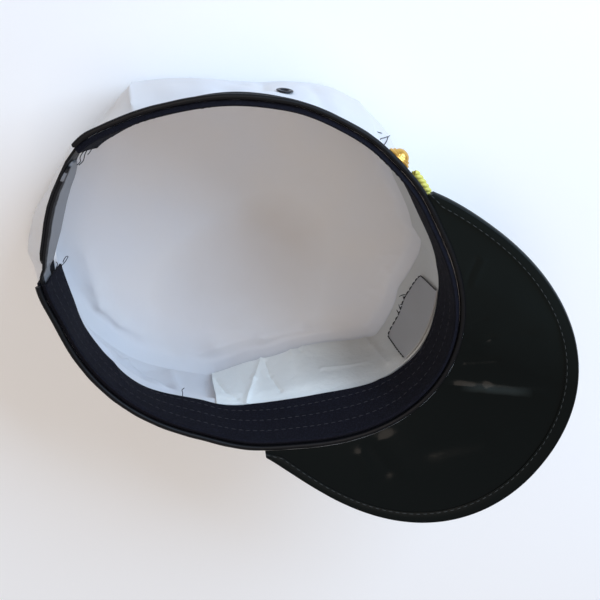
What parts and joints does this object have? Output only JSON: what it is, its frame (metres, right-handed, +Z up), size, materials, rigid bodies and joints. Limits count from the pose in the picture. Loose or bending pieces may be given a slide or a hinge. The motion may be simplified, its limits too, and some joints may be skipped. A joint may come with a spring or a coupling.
{
  "type": "sailor cap",
  "caption": "Peaked sailor cap lying upside down: soft white crown, black band and sweatband, glossy black peak, gold front cord and buttons, snap strap at the back.",
  "frame": {"origin": "middle of the flat of the crown's tip, where the cap rests upside down", "axes": "+Z up, out of the head opening; -Y towards the front, where the peak points; +X towards the wearer's right"},
  "size_m": [0.184, 0.271, 0.1228],
  "materials": {
    "white_cloth": "white plain-weave cotton",
    "white_stiffener": "creased white non-woven sheet",
    "grey_backing": "smooth grey sheet",
    "badge_felt": "plain black felt",
    "black_cloth": "black plain weave",
    "sweatband_tape": "blue-black woven tape with rows of stitches",
    "black_piping": "black satin over a cord",
    "black_gloss": "glossy black film with soft wrinkles",
    "strap_plastic": "satin black moulding",
    "gold_thread": "twisted yellow-gold thread",
    "gold_metal": "stamped gold-coloured metal",
    "black_eyelet": "black lacquer"
  },
  "bodies": {
    "root": {"crown_side": "white_cloth", "crown_tip": "white_cloth", "crown_stiffener": "white_stiffener", "badge": "badge_felt", "badge_backing": "grey_backing", "band": "black_cloth", "sweatband": "sweatband_tape", "piping": "black_piping", "peak": "black_gloss", "peak_binding": "black_gloss", "strap_with_holes": "strap_plastic", "strap_with_pegs": "strap_plastic", "front_cord": "gold_thread", "button_right": "gold_metal", "button_left": "gold_metal", "eyelet_right": "black_eyelet"}
  },
  "joints": []
}
